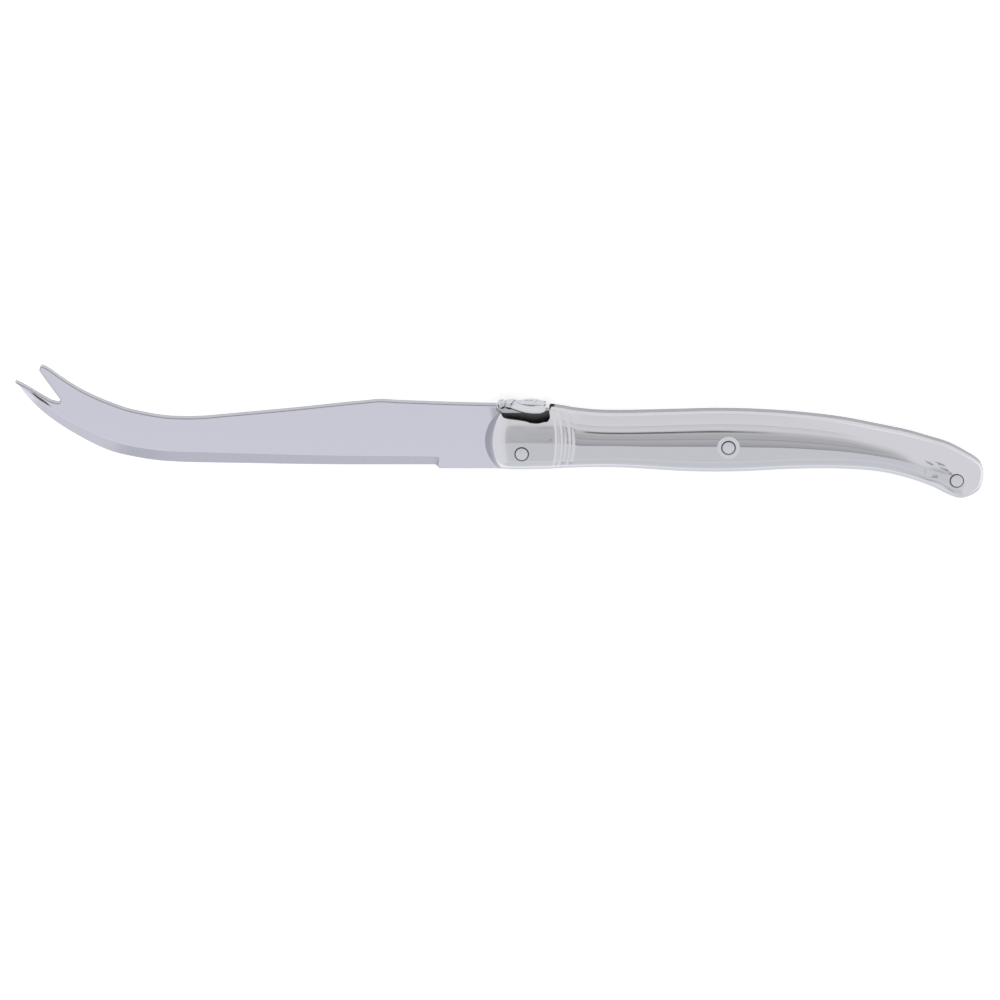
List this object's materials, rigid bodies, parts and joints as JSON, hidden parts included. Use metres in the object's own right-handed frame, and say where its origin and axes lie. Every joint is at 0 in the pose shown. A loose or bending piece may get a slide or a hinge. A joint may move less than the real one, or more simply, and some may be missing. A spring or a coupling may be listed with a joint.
{
  "type": "cheese knife",
  "caption": "All-steel cheese knife with an upturned forked tip, a hollow shell handle held by round pins, and a bee ornament on its back.",
  "frame": {"origin": "middle of the knife's box in X and Y, on the plane that its right side rests on", "axes": "+X along the knife towards the butt, +Y towards its back (the bee's side), +Z out of its left side, upwards as it lies"},
  "size_m": [0.2348, 0.033, 0.01],
  "materials": {
    "blade_steel": "satin",
    "handle_steel": "polished",
    "bee_steel": "polished",
    "pin_steel": "satin"
  },
  "bodies": {
    "root": {"blade": "blade_steel", "left_handle_shell": "handle_steel", "right_handle_shell": "handle_steel", "bee": "bee_steel", "front_rivet": "pin_steel", "middle_rivet": "pin_steel", "rear_rivet": "pin_steel", "front_left_spacer": "pin_steel", "front_right_spacer": "pin_steel", "middle_left_spacer": "pin_steel", "middle_right_spacer": "pin_steel", "rear_left_spacer": "pin_steel", "rear_right_spacer": "pin_steel"}
  },
  "joints": []
}
